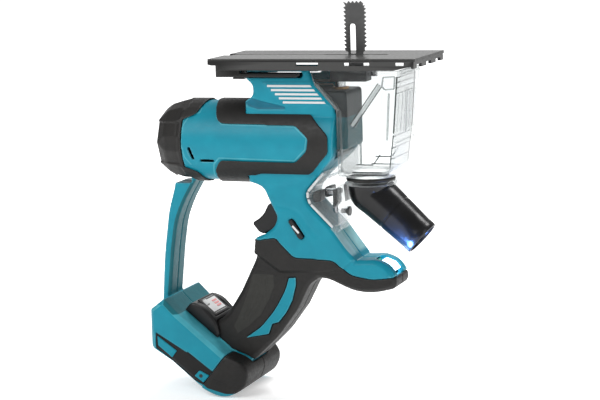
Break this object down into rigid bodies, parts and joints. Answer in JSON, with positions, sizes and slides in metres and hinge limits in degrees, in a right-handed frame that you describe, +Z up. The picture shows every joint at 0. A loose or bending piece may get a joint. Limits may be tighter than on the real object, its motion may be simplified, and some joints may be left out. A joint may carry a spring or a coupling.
{
  "type": "drywall saw",
  "caption": "Cordless drywall saw with a vertical blade through a flat base plate, a D-shaped body, a clear dust box and a swivelling dust nozzle.",
  "frame": {"origin": "the base plate's work face, on the seam plane between the housing halves, 40 mm ahead of the blade's axis", "axes": "+X runs ahead, from the motor to the dust nozzle; +Z runs up out of the work face, along the blade"},
  "size_m": [0.2151, 0.076, 0.2936],
  "materials": {
    "teal_shell": "satin moulded",
    "black_rubber": "matte overmould",
    "black_plastic": "semi-gloss",
    "indicator_label": "smooth film",
    "clear_plastic": "clear moulded",
    "circuit_board": "solder mask",
    "black_plate": "satin black",
    "cast_case": "cast",
    "dark_steel": "black oxide",
    "bright_steel": "ground",
    "bronze": "bare"
  },
  "bodies": {
    "housing": {"housing_near": "teal_shell", "housing_far": "teal_shell", "grip_inlay_near": "teal_shell", "grip_inlay_far": "teal_shell", "grip_cover_near": "black_rubber", "grip_cover_far": "black_rubber", "barrel_band_near": "black_rubber", "barrel_band_far": "black_rubber", "rear_cap": "black_rubber", "foot_cover_near": "black_rubber", "foot_cover_far": "black_rubber", "o_ring": "black_rubber", "indicator_panel": "black_plastic", "indicator_lens": "indicator_label", "terminal_block": "black_plastic", "brush_holder": "black_plastic", "switch_body": "black_plastic", "cover_pin": "black_plastic", "dust_box": "clear_plastic", "lower_cover": "clear_plastic", "led_lens": "clear_plastic", "controller_board": "circuit_board", "led_board": "circuit_board", "gear_case": "cast_case", "motor_can": "dark_steel", "cover_screw": "dark_steel", "carbon_brush_near": "dark_steel", "carbon_brush_far": "dark_steel", "housing_screw_1": "dark_steel", "housing_screw_2": "dark_steel", "housing_screw_3": "dark_steel", "housing_screw_4": "dark_steel", "housing_screw_5": "dark_steel", "housing_screw_6": "dark_steel", "rear_bearing": "bright_steel", "front_bearing": "bright_steel", "gear_axle": "bright_steel", "upper_bush": "bronze", "lower_bush": "bronze"},
    "base": {"base_plate": "black_plate", "rail_near": "black_plate", "rail_far": "black_plate", "rail_bridge": "black_plate", "latch_pin": "bright_steel"},
    "latch": {"base_latch": "black_plastic"},
    "trigger": {"trigger": "black_plastic"},
    "lock": {"lock_button": "black_plastic"},
    "stroke": {"slider": "bright_steel", "blade_clamp": "dark_steel", "blade": "dark_steel"},
    "lever": {"clamp_lever": "bright_steel"},
    "rotor": {"armature": "bronze", "fan": "black_plastic", "pinion": "bright_steel"},
    "crank": {"crank_gear": "bright_steel"},
    "nozzle": {"dust_nozzle": "black_plastic"},
    "check": {"check_button": "black_plastic"}
  },
  "joints": [
    {"name": "base_plate_slide", "type": "slide", "parent": "housing", "child": "base", "axis": [-1, 0, 0], "range_m": [0, 0.015]},
    {"name": "base_latch_hinge", "type": "hinge", "parent": "base", "child": "latch", "pos_m": [-0.131, 0, -0.0082], "axis": [0, 1, 0], "range_deg": [0, 30], "stiffness_Nm_per_rad": 0.01, "springref_deg": -20.05},
    {"name": "trigger_pull", "type": "slide", "parent": "housing", "child": "trigger", "axis": [0.8, 0, -0.6], "range_m": [0, 0.007], "stiffness_N_per_m": 500, "springref_m": -0.004},
    {"name": "lock_button_push", "type": "slide", "parent": "housing", "child": "lock", "axis": [0, 1, 0], "range_m": [0, 0.0025], "stiffness_N_per_m": 300, "springref_m": -0.004},
    {"name": "blade_stroke", "type": "slide", "parent": "housing", "child": "stroke", "axis": [0, 0, 1], "range_m": [-0.003, 0.003]},
    {"name": "clamp_lever_turn", "type": "hinge", "parent": "stroke", "child": "lever", "pos_m": [-0.0345, 0, -0.0145], "axis": [0, 1, 0], "range_deg": [-45, 0], "stiffness_Nm_per_rad": 0.03, "springref_deg": 20.05},
    {"name": "motor_spin", "type": "hinge", "parent": "housing", "child": "rotor", "pos_m": [-0.1, 0, -0.064], "axis": [1, 0, 0], "continuous": true},
    {"name": "crank_spin", "type": "hinge", "parent": "housing", "child": "crank", "pos_m": [-0.082, 0, -0.0437], "axis": [1, 0, 0], "continuous": true},
    {"name": "nozzle_swivel", "type": "hinge", "parent": "housing", "child": "nozzle", "pos_m": [-0.0308, 0, -0.095], "axis": [0, 0, 1], "range_deg": [-90, 90]},
    {"name": "check_button_press", "type": "slide", "parent": "housing", "child": "check", "axis": [-0.6293, 0, -0.7771], "range_m": [0, 0.0006], "stiffness_N_per_m": 400, "springref_m": -0.002}
  ],
  "couplings": [
    {"joint": "crank_spin", "follows": "motor_spin", "ratio": -0.33333}
  ]
}
